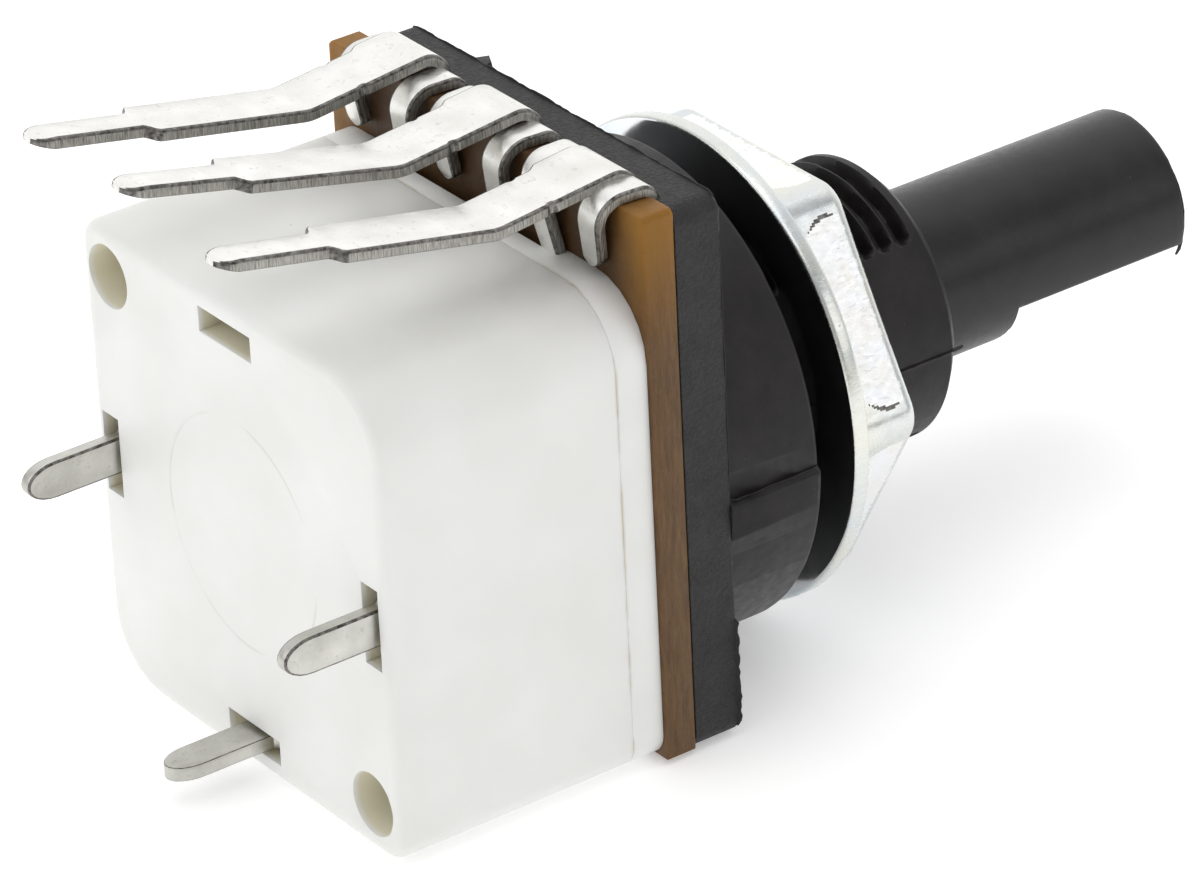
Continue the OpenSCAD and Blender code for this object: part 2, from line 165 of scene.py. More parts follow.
def bake_modifiers(obj):
    """Applies what is on obj, so that its own mesh is the final one."""
    bpy.context.view_layer.update()
    graph = bpy.context.evaluated_depsgraph_get()
    mesh = bpy.data.meshes.new_from_object(obj.evaluated_get(graph))
    obj.modifiers.clear()
    obj.data = mesh
    return obj


def bevel_where(obj, rules):
    """Rounds sharp edges; rules is a list of (test of an edge's two ends in mm, width in mm, segments)."""
    for test, width, segments in rules:
        bm = bmesh.new()
        bm.from_mesh(obj.data)
        picked = []
        for edge in bm.edges:
            if len(edge.link_faces) != 2 or edge.calc_face_angle(0) < SHARP_EDGE:
                continue
            a, b = (v.co / MM for v in edge.verts)
            if test(a) and test(b):
                picked.append(edge)
        bmesh.ops.bevel(bm, geom=picked, offset=width * MM, offset_type="OFFSET", segments=segments,
                        profile=0.5, affect="EDGES", clamp_overlap=True)
        bm.to_mesh(obj.data)
        bm.free()
    return obj


def combine(obj, other, operation):
    """Boolean of obj with other, which is used up."""
    modifier = obj.modifiers.new("combine", "BOOLEAN")
    modifier.operation = operation
    modifier.solver = "EXACT"
    modifier.object = other
    bake_modifiers(obj)
    bpy.data.objects.remove(other)
    return obj


def join(obj, others):
    """Adds the meshes of others to obj, in the same place."""
    bm = bmesh.new()
    bm.from_mesh(obj.data)
    for other in others:
        bm.from_mesh(other.data)
        bpy.data.objects.remove(other)
    bm.to_mesh(obj.data)
    bm.free()
    return obj


def keep_behind(obj, y):
    """Cuts obj at a plane across the shaft axis, keeps what is behind it and caps the cut."""
    bm = bmesh.new()
    bm.from_mesh(obj.data)
    everything = bm.verts[:] + bm.edges[:] + bm.faces[:]
    cut = bmesh.ops.bisect_plane(bm, geom=everything, plane_co=(0, y * MM, 0), plane_no=(0, 1, 0),
                                 clear_inner=True, clear_outer=False)
    edges = [e for e in cut["geom_cut"] if isinstance(e, bmesh.types.BMEdge)]
    bmesh.ops.holes_fill(bm, edges=edges)
    bm.to_mesh(obj.data)
    bm.free()
    return obj


def smooth(obj, angle=32):
    """Smooth shading, except across edges sharper than the angle in degrees."""
    obj.data.shade_smooth()
    obj.data.set_sharp_from_angle(angle=math.radians(angle))
    return obj


def dress(obj, body, slot, *materials):
    """Gives a piece its materials and its body; slot is not used."""
    for material in materials:
        obj.data.materials.append(material)
    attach(obj, body)
    return obj


def ribbon(name, path, section):
    """Sweeps a section along a path in a plane of constant X.

    path is a list of (y, z, x, half width, half thickness); section gives points of a unit cross-section
    as (across, through), each from -1 to 1.
    """
    rings = []
    for i, (y, z, x, half_w, half_t) in enumerate(path):
        before = path[max(i - 1, 0)]
        after = path[min(i + 1, len(path) - 1)]
        dy, dz = after[0] - before[0], after[1] - before[1]
        length = math.hypot(dy, dz) or 1.0
        ny, nz = -dz / length, dy / length
        unit = section(half_w, half_t)
        rings.append([(x + a * half_w, y + b * half_t * ny, z + b * half_t * nz) for a, b in unit])
    return loft(name, rings)


def stamped_section(half_w, half_t):
    """A stamped strip: rounded on the punch side, sharp on the other."""
    round_top, burr, bulge = 0.10, 0.03, 0.3
    a = min(round_top / half_w, 0.6)
    b = min(round_top / half_t, 0.6)
    c = min(burr / half_w, 0.4)
    d = min(burr / half_t, 0.4)
    return [(-1, -1 + d), (-1 + c, -1), (1 - c, -1), (1, -1 + d), (1, 1 - b), (1 - bulge * a, 1 - bulge * b),
            (1 - a, 1), (-1 + a, 1), (-1 + bulge * a, 1 - bulge * b), (-1, 1 - b)]


def smooth_path(points, step=0.12):
    """Points of a polyline with each inner corner rounded; points are (y, z, corner radius)."""
    arc_step = 0.06
    out = [Vector(points[0][:2])]
    for i in range(1, len(points) - 1):
        p, r = Vector(points[i][:2]), points[i][2]
        a = (Vector(points[i - 1][:2]) - p).normalized()
        b = (Vector(points[i + 1][:2]) - p).normalized()
        half = math.acos(max(-1, min(1, a.dot(b)))) / 2
        back = r / math.tan(half)
        start, end = p + a * back, p + b * back
        centre = p + (a + b).normalized() * (r / math.sin(half))
        n = max(3, int((math.pi - 2 * half) * r / arc_step))
        va, vb = start - centre, end - centre
        turn = va.angle_signed(vb)
        fill_line(out, start, step)
        for k in range(n + 1):
            out.append(centre + turned(va, -turn * k / n))
    fill_line(out, Vector(points[-1][:2]), step)
    out.append(Vector(points[-1][:2]))
    return out


def turned(v, angle):
    """A plane vector turned by an angle in radians."""
    cos, sin = math.cos(angle), math.sin(angle)
    return Vector((v.x * cos - v.y * sin, v.x * sin + v.y * cos))


def distances(line):
    """How far along the line each of its points is."""
    out = [0.0]
    for a, b in zip(line, line[1:]):
        out.append(out[-1] + (b - a).length)
    return out


def fill_line(out, end, step):
    """Adds points to out between its last point and end, without end itself."""
    start = out[-1]
    n = int((end - start).length / step)
    for k in range(1, n):
        out.append(start.lerp(end, k / n))


def flash(name, route, height, width, seed, lean=(0, 0, 0)):
    """A thin ragged fin of moulding flash along a route of (point, outward direction), in millimetres."""
    rng = random.Random(seed)
    lean = Vector(lean)
    vertices, faces = [], []
    tall = height
    for i, (point, out) in enumerate(route):
        p, out = Vector(point), Vector(out)
        ahead = Vector(route[min(i + 1, len(route) - 1)][0]) - Vector(route[max(i - 1, 0)][0])
        side = out.cross(ahead).normalized() * width / 2
        tall = 0.6 * tall + 0.4 * height * rng.uniform(0.1, 1.9)
        sunk = p - out * 0.06
        tip = p + out * (tall if 0 < i < len(route) - 1 else 0) + lean * tall
        vertices += [sunk - side, sunk + side, tip + side * 0.3, tip - side * 0.3]
    for i in range(len(route) - 1):
        a = 4 * i
        b = a + 4
        for k in range(4):
            n = (k + 1) % 4
            faces.append((a + k, a + n, b + n, b + k))
    last = 4 * (len(route) - 1)
    faces += [(3, 2, 1, 0), (last, last + 1, last + 2, last + 3)]
    return mesh_object(name, vertices, faces)


def straight_flash(name, start, end, out, step, height, width, seed, lean=(0, 0, 0)):
    """Flash along the straight line from start to end, with a point about every step."""
    start, end = Vector(start), Vector(end)
    n = max(2, int((end - start).length / step))
    route = [(start.lerp(end, k / n), out) for k in range(n + 1)]
    return flash(name, route, height, width, seed, lean)


# ---------------------------------------------------------------- material helpers
class Shader:
    """Builds one procedural material; places are in millimetres of the part's own frame."""

    def __init__(self, name, metallic=0.0, **constants):
        self.material = bpy.data.materials.new(name)
        self.material.use_nodes = True
        self.tree = self.material.node_tree
        self.surface = self.tree.nodes["Principled BSDF"]
        self.surface.inputs["Metallic"].default_value = metallic
        for key, value in constants.items():
            self.surface.inputs[key.replace("_", " ")].default_value = value
        place = self.tree.nodes.new("ShaderNodeTexCoord").outputs["Object"]
        scale = self.node("ShaderNodeVectorMath", operation="SCALE")
        scale.inputs["Scale"].default_value = 1 / MM
        self.link(place, scale.inputs[0])
        self.place = scale.outputs["Vector"]
        self.normal = None

    def node(self, kind, **settings):
        """A new node with the given settings."""
        n = self.tree.nodes.new(kind)
        for key, value in settings.items():
            setattr(n, key, value)
        return n

    def link(self, a, b):
        self.tree.links.new(a, b)

    def stretched(self, stretch):
        """The place, with each axis multiplied by its share of stretch."""
        if stretch is None:
            return self.place
        n = self.node("ShaderNodeVectorMath", operation="MULTIPLY")
        n.inputs[1].default_value = stretch
        self.link(self.place, n.inputs[0])
        return n.outputs["Vector"]

    def noise(self, per_mm, detail=3.0, roughness=0.55, stretch=None, distortion=0.0):
        """Noise from 0 to 1 with per_mm lumps in a millimetre."""
        n = self.node("ShaderNodeTexNoise")
        n.inputs["Scale"].default_value = per_mm
        n.inputs["Detail"].default_value = detail
        n.inputs["Roughness"].default_value = roughness
        n.inputs["Distortion"].default_value = distortion
        self.link(self.stretched(stretch), n.inputs["Vector"])
        return n.outputs["Fac"]

    def cells(self, per_mm):
        """Distance from the nearest of scattered points."""
        n = self.node("ShaderNodeTexVoronoi")
        n.inputs["Scale"].default_value = per_mm
        self.link(self.place, n.inputs["Vector"])
        return n.outputs["Distance"]

    def range(self, value, low, high, to_low=0.0, to_high=1.0):
        """Maps low..high to to_low..to_high, held at both ends."""
        n = self.node("ShaderNodeMapRange")
        n.inputs["From Min"].default_value = low
        n.inputs["From Max"].default_value = high
        n.inputs["To Min"].default_value = to_low
        n.inputs["To Max"].default_value = to_high
        self.link(value, n.inputs["Value"])
        return n.outputs["Result"]

    def math(self, operation, a, b=0):
        """One sum of two values, each a number or another node's output."""
        n = self.node("ShaderNodeMath", operation=operation)
        for socket, value in zip(n.inputs, (a, b)):
            if isinstance(value, (int, float)):
                socket.default_value = value
            else:
                self.link(value, socket)
        return n.outputs["Value"]

    def times(self, a, b):
        """The product of two values."""
        return self.math("MULTIPLY", a, b)

    def away(self, value, centre):
        """How far a value is from a centre, either way."""
        return self.math("ABSOLUTE", self.math("SUBTRACT", value, centre))

    def along(self, axis):
        """The place along X, Y or Z in millimetres."""
        n = self.node("ShaderNodeSeparateXYZ")
        self.link(self.place, n.inputs["Vector"])
        return n.outputs[axis]

    def mix(self, factor, a, b):
        """Colour a turned into colour b by the factor."""
        n = self.node("ShaderNodeMix", data_type="RGBA")
        self.link(factor, n.inputs[0])
        for socket, value in ((n.inputs[6], a), (n.inputs[7], b)):
            if isinstance(value, tuple):
                socket.default_value = (*value, 1)
            else:
                self.link(value, socket)
        return n.outputs[2]

    def colour(self, value):
        self.link(value, self.surface.inputs["Base Color"])

    def roughness(self, value):
        self.link(value, self.surface.inputs["Roughness"])

    def bump(self, height, distance_mm, strength=1.0):
        """Adds relief to the normal, on top of what is there already."""
        n = self.node("ShaderNodeBump")
        n.inputs["Strength"].default_value = strength
        n.inputs["Distance"].default_value = distance_mm * MM
        self.link(height, n.inputs["Height"])
        if self.normal is not None:
            self.link(self.normal, n.inputs["Normal"])
        self.normal = n.outputs["Normal"]
        self.link(self.normal, self.surface.inputs["Normal"])


def with_specks(s, body, cells, patches, amount, speck_colour):
    """Scattered specks in some places only.

    cells is (specks per mm, whole within, gone beyond).
    patches is (noise per mm, detail, no specks under, specks over).
    """
    per_mm, whole, gone = cells
    specks = s.range(s.cells(per_mm), whole, gone, 1, 0)
    patch_per_mm, detail, none, full = patches
    rare = s.range(s.noise(patch_per_mm, detail), none, full)
    return s.mix(s.times(s.times(specks, rare), amount), body, speck_colour)


def with_seam(s, body):
    """A broken dark line where the cover meets the box."""
    near = s.range(s.away(s.along("Y"), SEAM), 0.02, 0.10, 1, 0)
    seam = s.times(near, s.range(s.noise(0.5, 3), 0.45, 0.6))
    return s.mix(s.times(seam, 0.4), body, (0.50, 0.40, 0.22))


def with_painted_hole_shade(s, body):
    """Painted shade in the holes and the hollow, yellower and darker than the skin: bounds in X, in Z, across
    the corners and in Y.
    """
    x, y, z = s.along("X"), s.along("Y"), s.along("Z")
    inside = s.range(s.away(x, 0), 7.8, 7.9, 1, 0)
    inside = s.times(inside, s.range(s.away(z, 0), 8.0, 8.1, 1, 0))
    inside = s.times(inside, s.range(s.away(x, z), 14.3, 14.5, 1, 0))
    inside = s.times(inside, s.range(y, REAR - 0.25, REAR - 0.08, 1, 0))
    return s.mix(inside, body, (0.80, 0.765, 0.62))


def with_witness_circle(s, body):
    """A faint circle left by the mould on the rear face."""
    centre_x, centre_z, radius = -0.2, 0.2, 4.1
    across = s.math("POWER", s.math("SUBTRACT", s.along("X"), centre_x), 2)
    up = s.math("POWER", s.math("SUBTRACT", s.along("Z"), centre_z), 2)
    from_centre = s.math("SQRT", s.math("ADD", across, up))
    circle = s.range(s.away(from_centre, radius), 0.02, 0.07, 1, 0)
    circle = s.times(circle, s.range(s.along("Y"), REAR - 0.05, REAR - 0.01))
    circle = s.times(circle, s.range(s.noise(0.25, 2), 0.42, 0.55))
    return s.mix(s.times(circle, 0.22), body, (0.36, 0.34, 0.28))


def white_plastic():
    """The white moulding of box and cover."""
    s = Shader("white_moulding", IOR=1.5, Subsurface_Weight=0.12, Subsurface_Scale=0.0006)
    s.surface.inputs["Subsurface Radius"].default_value = (1.0, 0.85, 0.6)
    body = s.mix(s.range(s.noise(0.18, 2), 0.35, 0.65), (0.83, 0.83, 0.80), (0.885, 0.885, 0.865))
    body = with_seam(s, body)
    # painted shade in the holes and the hollow
    body = with_painted_hole_shade(s, body)
    body = with_witness_circle(s, body)
    body = with_specks(s, body, (0.7, 0.02, 0.05), (0.35, 1, 0.62, 0.66), 0.6, (0.30, 0.26, 0.20))
    s.colour(body)
    s.roughness(s.range(s.noise(1.2, 4), 0.3, 0.7, 0.34, 0.5))
    s.bump(s.noise(0.45, 2), 0.05, 0.5)
    s.bump(s.noise(9, 3), 0.004, 0.5)
    return s.material


def board_material():
    """Resin-bonded paper: layered edges, with painted shade across the middle and a painted amber glow of
    light at the upper corners.
    """
    s = Shader("resin_paper", IOR=1.52, Specular_IOR_Level=0.3,
               Subsurface_Weight=0.3, Subsurface_Scale=0.0006)
    s.surface.inputs["Subsurface Radius"].default_value = (1.0, 0.5, 0.12)
    layers = s.noise(2.2, 4, 0.6, stretch=(0.35, 3.2, 0.35))
    body = s.mix(s.range(layers, 0.3, 0.7), (0.088, 0.042, 0.014), (0.155, 0.082, 0.027))
    fibres = s.noise(5, 4, 0.7, stretch=(1.4, 1.4, 0.5))
    body = s.mix(s.range(fibres, 0.55, 0.75, 0, 0.4), body, (0.22, 0.14, 0.062))
    from_middle = s.away(s.along("X"), 0)
    # painted shade: the middle of the board, between the claws, is darkened
    body = s.mix(s.range(from_middle, 6.2, 8.0, 0.6, 0), body, (0.03, 0.013, 0.005))
    # painted light: an amber glow of light through the board at its upper corners
    upper = s.range(s.along("Z"), PLATE_TOP - 4.5, PLATE_TOP - 0.4)
    corner = s.times(upper, s.range(from_middle, 6.6, 8.0))
    body = s.mix(s.times(corner, 0.85), body, (0.29, 0.13, 0.008))
    specks = s.range(s.cells(2.4), 0.05, 0.13, 1, 0)
    body = s.mix(s.times(specks, 0.35), body, (0.12, 0.06, 0.02))
    s.colour(body)
    s.roughness(s.range(s.noise(3, 4), 0.3, 0.7, 0.38, 0.6))
    s.bump(s.noise(4, 4, 0.6, stretch=(1, 2.5, 1)), 0.03, 0.7)
    return s.material


def grained_black():
    """The plate's rough black."""
    s = Shader("grained_black_plastic", IOR=1.5, Specular_IOR_Level=0.40)
    tone = s.noise(1.1, 4)
    s.colour(s.mix(s.range(tone, 0.3, 0.7), (0.012, 0.011, 0.011), (0.024, 0.022, 0.022)))
    grain = s.noise(7, 4, 0.65)
    s.roughness(s.range(grain, 0.3, 0.7, 0.42, 0.62))
    s.bump(grain, 0.10, 0.9)
    s.bump(s.noise(15, 3, 0.6), 0.022, 0.8)
    return s.material


def satin_black():
    """The drum's and bush's smoother black, a little dusty."""
    s = Shader("satin_black_plastic", IOR=1.5, Specular_IOR_Level=0.28)
    body = s.mix(s.range(s.noise(0.8, 4), 0.3, 0.7), (0.009, 0.0075, 0.0075), (0.018, 0.0155, 0.0155))
    s.colour(with_specks(s, body, (3.2, 0.03, 0.07), (0.9, 2, 0.60, 0.66), 0.35, (0.35, 0.34, 0.33)))
    s.roughness(s.range(s.noise(3, 4), 0.3, 0.7, 0.36, 0.50))
    s.bump(s.noise(14, 3, 0.6), 0.010, 0.6)
    s.bump(s.noise(0.9, 2), 0.03, 0.4)
    return s.material


def shaft_black():
    """The shaft's black, the smoothest of the three."""
    s = Shader("shaft_black_plastic", IOR=1.5, Specular_IOR_Level=0.38)
    body = s.mix(s.range(s.noise(0.7, 4), 0.3, 0.7), (0.008, 0.007, 0.007), (0.016, 0.014, 0.014))
    s.colour(with_specks(s, body, (2.6, 0.03, 0.06), (0.7, 2, 0.62, 0.66), 0.3, (0.32, 0.31, 0.30)))
    s.roughness(s.range(s.noise(4, 4), 0.3, 0.7, 0.27, 0.38))
    s.bump(s.noise(16, 3, 0.6), 0.006, 0.5)
    return s.material


def zinc():
    """Zinc plate with cloudy stains, scuffs and pits."""
    s = Shader("zinc_plate", metallic=1.0)
    clouds = s.noise(0.28, 3, distortion=0.6)
    body = s.mix(s.range(clouds, 0.35, 0.65), (0.66, 0.705, 0.735), (0.76, 0.76, 0.70))
    stains = s.range(s.noise(0.9, 5, 0.65), 0.52, 0.72, 0, 0.35)
    s.colour(s.mix(stains, body, (0.50, 0.54, 0.54)))
    scuffs = s.noise(5, 4, 0.7, stretch=(1.0, 0.35, 1.0))
    s.roughness(s.range(scuffs, 0.3, 0.7, 0.16, 0.36))
    s.bump(scuffs, 0.012, 0.6)
    s.bump(s.noise(1.4, 3), 0.03, 0.35)
    pits = s.range(s.cells(2.2), 0.03, 0.10, 1, 0)
    s.bump(s.times(pits, s.range(s.noise(0.8, 2), 0.5, 0.6)), -0.02, 0.8)
    return s.material


def zinc_face():
    """The smooth bearing face of the nut."""
    s = Shader("zinc_bearing_face", metallic=1.0)
    s.colour(s.mix(s.range(s.noise(0.3, 3), 0.35, 0.65), (0.72, 0.77, 0.82), (0.82, 0.84, 0.84)))
    s.roughness(s.range(s.noise(1.2, 4), 0.3, 0.7, 0.08, 0.16))
    s.bump(s.noise(0.7, 3), 0.012, 0.25)
    return s.material


def tinned(name, low, high, worn_colour):
    """Tin plate between two tones, worn through in patches."""
    s = Shader(name, metallic=1.0)
    clouds = s.noise(0.8, 4, 0.6)
    body = s.mix(s.range(clouds, 0.3, 0.7), low, high)
    worn = s.range(s.noise(3.2, 5, 0.7), 0.56, 0.72, 0, 0.5)
    s.colour(s.mix(worn, body, worn_colour))
    scratch = s.noise(6, 4, 0.7, stretch=(1.6, 0.4, 1.0))
    s.roughness(s.range(scratch, 0.3, 0.7, 0.26, 0.46))
    s.bump(s.noise(2.6, 4, 0.6), 0.022, 0.6)
    s.bump(scratch, 0.008, 0.5)
    return s.material


def sheared():
    """The cut edge of the strip, streaked along the cut."""
    s = Shader("sheared_edge", metallic=1.0)
    streaks = s.noise(7, 3, 0.6, stretch=(0.3, 3.0, 0.3))
    body = s.mix(s.range(streaks, 0.3, 0.7), (0.16, 0.155, 0.14), (0.52, 0.51, 0.47))
    s.colour(body)
    s.roughness(s.range(streaks, 0.3, 0.7, 0.32, 0.5))
    s.bump(streaks, 0.02, 0.7)
    return s.material


def rolled():
    """Painted shade for the rounded edges of stampings and the ends of the nut's facets: a dark, patchy
    metal.
    """
    s = Shader("painted_edge_shade", metallic=1.0)
    patches = s.noise(5, 4, 0.65)
    s.colour(s.mix(s.range(patches, 0.35, 0.7), (0.055, 0.052, 0.048), (0.30, 0.29, 0.27)))
    s.roughness(s.range(patches, 0.3, 0.7, 0.30, 0.45))
    s.bump(patches, 0.015, 0.6)
    return s.material


def burnished():
    """The facets of the nut, smeared bright by the press tool, with fine cracks across."""
    s = Shader("burnished_facet", metallic=1.0)
    s.colour(s.mix(s.range(s.noise(1.2, 4), 0.35, 0.65), (0.90, 0.89, 0.86), (0.93, 0.94, 0.97)))
    smear = s.noise(6, 4, 0.7, stretch=(1.0, 0.5, 1.0))
    s.roughness(s.range(smear, 0.3, 0.7, 0.24, 0.42))
    s.bump(smear, 0.02, 0.6)
    cracks = s.noise(9, 3, 0.6, stretch=(0.5, 0.22, 1.6))
    s.bump(s.range(cracks, 0.62, 0.70), -0.03, 0.7)
    return s.material


def plain_metal(name, low, high, rough=(0.25, 0.4)):
    """A metal between two tones."""
    s = Shader(name, metallic=1.0)
    s.colour(s.mix(s.range(s.noise(1.5, 4), 0.3, 0.7), low, high))
    s.roughness(s.range(s.noise(5, 4), 0.3, 0.7, *rough))
    s.bump(s.noise(9, 3), 0.006, 0.5)
    return s.material


def plain_plastic(name, low, high):
    """A plastic between two tones."""
    s = Shader(name, IOR=1.5)
    s.colour(s.mix(s.range(s.noise(0.7, 4), 0.3, 0.7), low, high))
    s.roughness(s.range(s.noise(4, 4), 0.3, 0.7, 0.4, 0.55))
    s.bump(s.noise(12, 3), 0.006, 0.5)
    return s.material


def ink(name, low, high, metallic):
    """A printed layer between two tones."""
    s = Shader(name, metallic=metallic)
    s.colour(s.mix(s.range(s.noise(3, 5), 0.3, 0.7), low, high))
    s.roughness(s.range(s.noise(8, 4), 0.3, 0.7, 0.45, 0.7))
    s.bump(s.noise(20, 3), 0.005, 0.6)
    return s.material


WHITE = white_plastic()
BOARD = board_material()
GRAINED = grained_black()
SATIN = satin_black()
SHAFT_BLACK = shaft_black()
ZINC = zinc()
ZINC_FACE = zinc_face()
BURNISHED = burnished()
TIN = tinned("tin_plate", (0.78, 0.77, 0.735), (0.92, 0.915, 0.89), (0.46, 0.44, 0.40))
DULL_TIN = tinned("dull_tin_plate", (0.46, 0.455, 0.42), (0.66, 0.65, 0.61), (0.28, 0.27, 0.24))
SHEARED = sheared()
# painted shade for rounded edges
EDGE_SHADE = rolled()


# ---------------------------------------------------------------- front housing: plate, drum and bush
def plate_ring(inset, y):
    """The plate's outline with rounded corners, as a ring at depth y."""
    corner_r, corner_steps = 0.6, 6
    top, bottom, half = PLATE_TOP - inset, PLATE_BOTTOM + inset, PLATE_HALF - inset
    r = max(corner_r - inset, 0.1)
    corners = ((half - r, top - r, 0), (-half + r, top - r, 90),
               (-half + r, bottom + r, 180), (half - r, bottom + r, 270))
    ring = []
    for cx, cz, first_degrees in corners:
        for k in range(corner_steps + 1):
            a = math.radians(first_degrees + 15 * k)
            ring.append((cx + r * math.cos(a), y, cz + r * math.sin(a)))
    return ring


def plate():
    """The square plate with a rounded front edge."""
    edge = 0.12
    rings = []
    for k in range(4):
        t = math.radians(30 * k)
        rings.append(plate_ring(edge * (1 - math.sin(t)), PLATE_FRONT + edge * (1 - math.cos(t))))
    rings.append(plate_ring(0, PLATE_BACK - 0.04))
    rings.append(plate_ring(0.04, PLATE_BACK))
    return loft("plate_body", rings)


def drum_radius(a):
    """The upper side slide leaves a faint step at 45 degrees and the lower half stands proud."""
    slide_step = 0.022
    step = slide_step if abs(math.degrees(a) - 90) < 45 else 0.0
    return DRUM_LOWER_R if math.sin(a) < -1e-6 else DRUM_R - slide_step + step


def drum():
    """The round drum with a rounded front edge."""
    edge, count = 0.22, 360
    rings = []
    for k in range(5):
        t = math.radians(22.5 * k)
        inset = edge * (1 - math.sin(t))
        rings.append(round_ring(lambda a, i=inset: drum_radius(a) - i, edge * (1 - math.cos(t)), count))
    rings.append(round_ring(drum_radius, PLATE_FRONT + 0.05, count))
    return loft("drum_body", rings)


def thread_depth(a, y):
    """How deep the thread is cut at angle a and depth y: grooves above and below, none at the sides."""
    pitch, deep, half_groove, half_arc = 0.75, 0.55, 0.33, math.radians(44)
    steepness = 1.45
    first = BUSH_END + 0.93
    best = 0.0
    for centre in (90, 270):
        off = (a - math.radians(centre) + math.pi) % (2 * math.pi) - math.pi
        past = max(abs(off) - half_arc, 0) * BUSH_R
        run = (y - first - pitch * off / (2 * math.pi)) / pitch
        k = max(0, round(run))
        across = (run - k) * pitch
        end = max(abs(off) * BUSH_R - (half_arc * BUSH_R - half_groove), 0)
        away = math.hypot(across, end if past < half_groove else half_groove)
        share = max(0.0, 1 - (away / half_groove) ** 2)
        best = max(best, deep * min(1.0, steepness * share))
    return best


def bush_radius(a, y, inset):
    """The bush's radius at angle a and depth y; its lower half is a little smaller."""
    shrink = 0.05 if math.sin(a) < -1e-6 else 0
    cut = thread_depth(a, y) if inset == 0 else 0
    return BUSH_R - inset - shrink - cut


def bush():
    """The bush with its thread, its side lands and a small chamfer at the end."""
    count, chamfer, chamfer_steps = 300, 0.34, 4
    y_step, y_last = 0.05, 0.4
    rows = []
    for k in range(chamfer_steps):
        rows.append((BUSH_END + chamfer * k / chamfer_steps, chamfer * (1 - k / chamfer_steps)))
    y = BUSH_END + chamfer
    while y < y_last:
        rows.append((y, 0.0))
        y += y_step
    rings = []
    for y, inset in rows:
        rings.append(round_ring(lambda a, y=y, i=inset: bush_radius(a, y, i), y, count))
    return loft("bush_body", rings)


def parting_flash(sign):
    """Flash on the drum and the bush on one side of the mould's parting plane."""
    out = (sign, 0, 0)
    drum_x, drum_z = sign * (DRUM_R - 0.02), 0.03
    bush_x = sign * BUSH_R
    return [straight_flash("flash_drum", (drum_x, 0.1, drum_z), (drum_x, PLATE_FRONT, drum_z), out,
                           0.15, 0.13, 0.09, 5 + sign, lean=(0, 0, 0.35)),
            straight_flash("flash_bush", (bush_x, BUSH_END - 0.12, 0), (bush_x, 0, 0), out,
                           0.18, 0.06, 0.10, 11 + sign)]


def plate_side_flash(sign):
    """Flash on the plate's front edge on one side: little on the upper half, more on the lower."""
    side_x, low_x = sign * (PLATE_HALF - 0.03), sign * (PLATE_HALF - 0.02)
    y = PLATE_FRONT + 0.06
    return [straight_flash("flash_side", (side_x, y, 9.8), (side_x, y, 0.2), (sign * 0.97, -0.25, 0),
                           0.25, 0.03, 0.07, 31 + sign),
            straight_flash("flash_low", (low_x, y, -4.2), (low_x, y, -8.2), (sign * 0.8, -0.6, 0),
                           0.18, 0.12, 0.08, 41 + sign)]


def housing_flash():
    """Ragged moulding flash along the parting lines."""
    top_x, top_y, top_z = PLATE_HALF - 0.3, PLATE_FRONT + 0.05, PLATE_TOP - 0.03
    low_x, low_y, low_z = PLATE_HALF - 0.4, PLATE_FRONT + 0.06, PLATE_BOTTOM + 0.03
    out = parting_flash(-1) + parting_flash(1)
    out.append(straight_flash("flash_top", (-top_x, top_y, top_z), (top_x, top_y, top_z), (0, -0.25, 0.97),
                              0.2, 0.07, 0.09, 21))
    out += plate_side_flash(-1) + plate_side_flash(1)
    out.append(straight_flash("flash_bottom", (-low_x, low_y, low_z), (low_x, low_y, low_z), (0, -0.7, -0.7),
                              0.2, 0.05, 0.08, 51))
    return out


def gate_nib():
    """A torn stub on the front of the plate, near the top."""
    x, y, z = 4.2, PLATE_FRONT + 0.1, PLATE_TOP - 0.75
    w, h, reach = 0.85, 0.62, 0.85
    vertices = [(x, y, z), (x + w, y, z), (x + w, y, z + h), (x, y, z + h),
                (x + 0.15, y - reach * 0.7, z + 0.1), (x + w - 0.25, y - reach, z + 0.16),
                (x + w - 0.2, y - reach * 0.9, z + h - 0.05), (x + 0.1, y - reach * 0.55, z + h + 0.02)]
    faces = [(0, 1, 2, 3), (7, 6, 5, 4), (0, 4, 5, 1), (1, 5, 6, 2), (2, 6, 7, 3), (3, 7, 4, 0)]
    return mesh_object("gate_nib", vertices, faces)


def front_housing():
    """Plate, drum and bush, hollowed like the CAD node and with its posts behind."""
    body = combine(drum(), plate(), "UNION")
    body = combine(body, bush(), "UNION")
    inside = copy_of("front_housing", "housing_inside")
    outer = tube("outer_form", 12, BUSH_END - 1, PLATE_BACK, 64)
    negative = inner_part(combine(outer, inside, "DIFFERENCE"))
    body = combine(body, negative, "DIFFERENCE")
    posts = keep_behind(copy_of("front_housing", "housing_posts"), PLATE_BACK)
    pieces = housing_flash() + [gate_nib(), posts]
    body.name = "front_housing_detail"
    split_materials(body)
    join(body, pieces)
    smooth(body, 30)
    dress(body, "housing", "black_plastic", SATIN, GRAINED)
    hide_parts("front_housing")
    return body


def inner_part(obj):
    """Keeps only the hollow of the housing and the bore: the parts of obj within the drum."""
    keep = tube("hollow_limit", 8.0, BUSH_END + 8.41, PLATE_BACK + 0.2, 96)
    bore = tube("bore_limit", BORE_R + 0.3, BUSH_END - 1.5, 0.5, 96)
    keep = combine(keep, bore, "UNION")
    return combine(obj, keep, "INTERSECT")


def split_materials(obj):
    """The plate's faces get the grained finish, and the drum and bush the satin one."""
    satin, grained = 0, 1
    for polygon in obj.data.polygons:
        behind = polygon.center.y / MM > PLATE_FRONT + 0.01
        polygon.material_index = grained if behind else satin


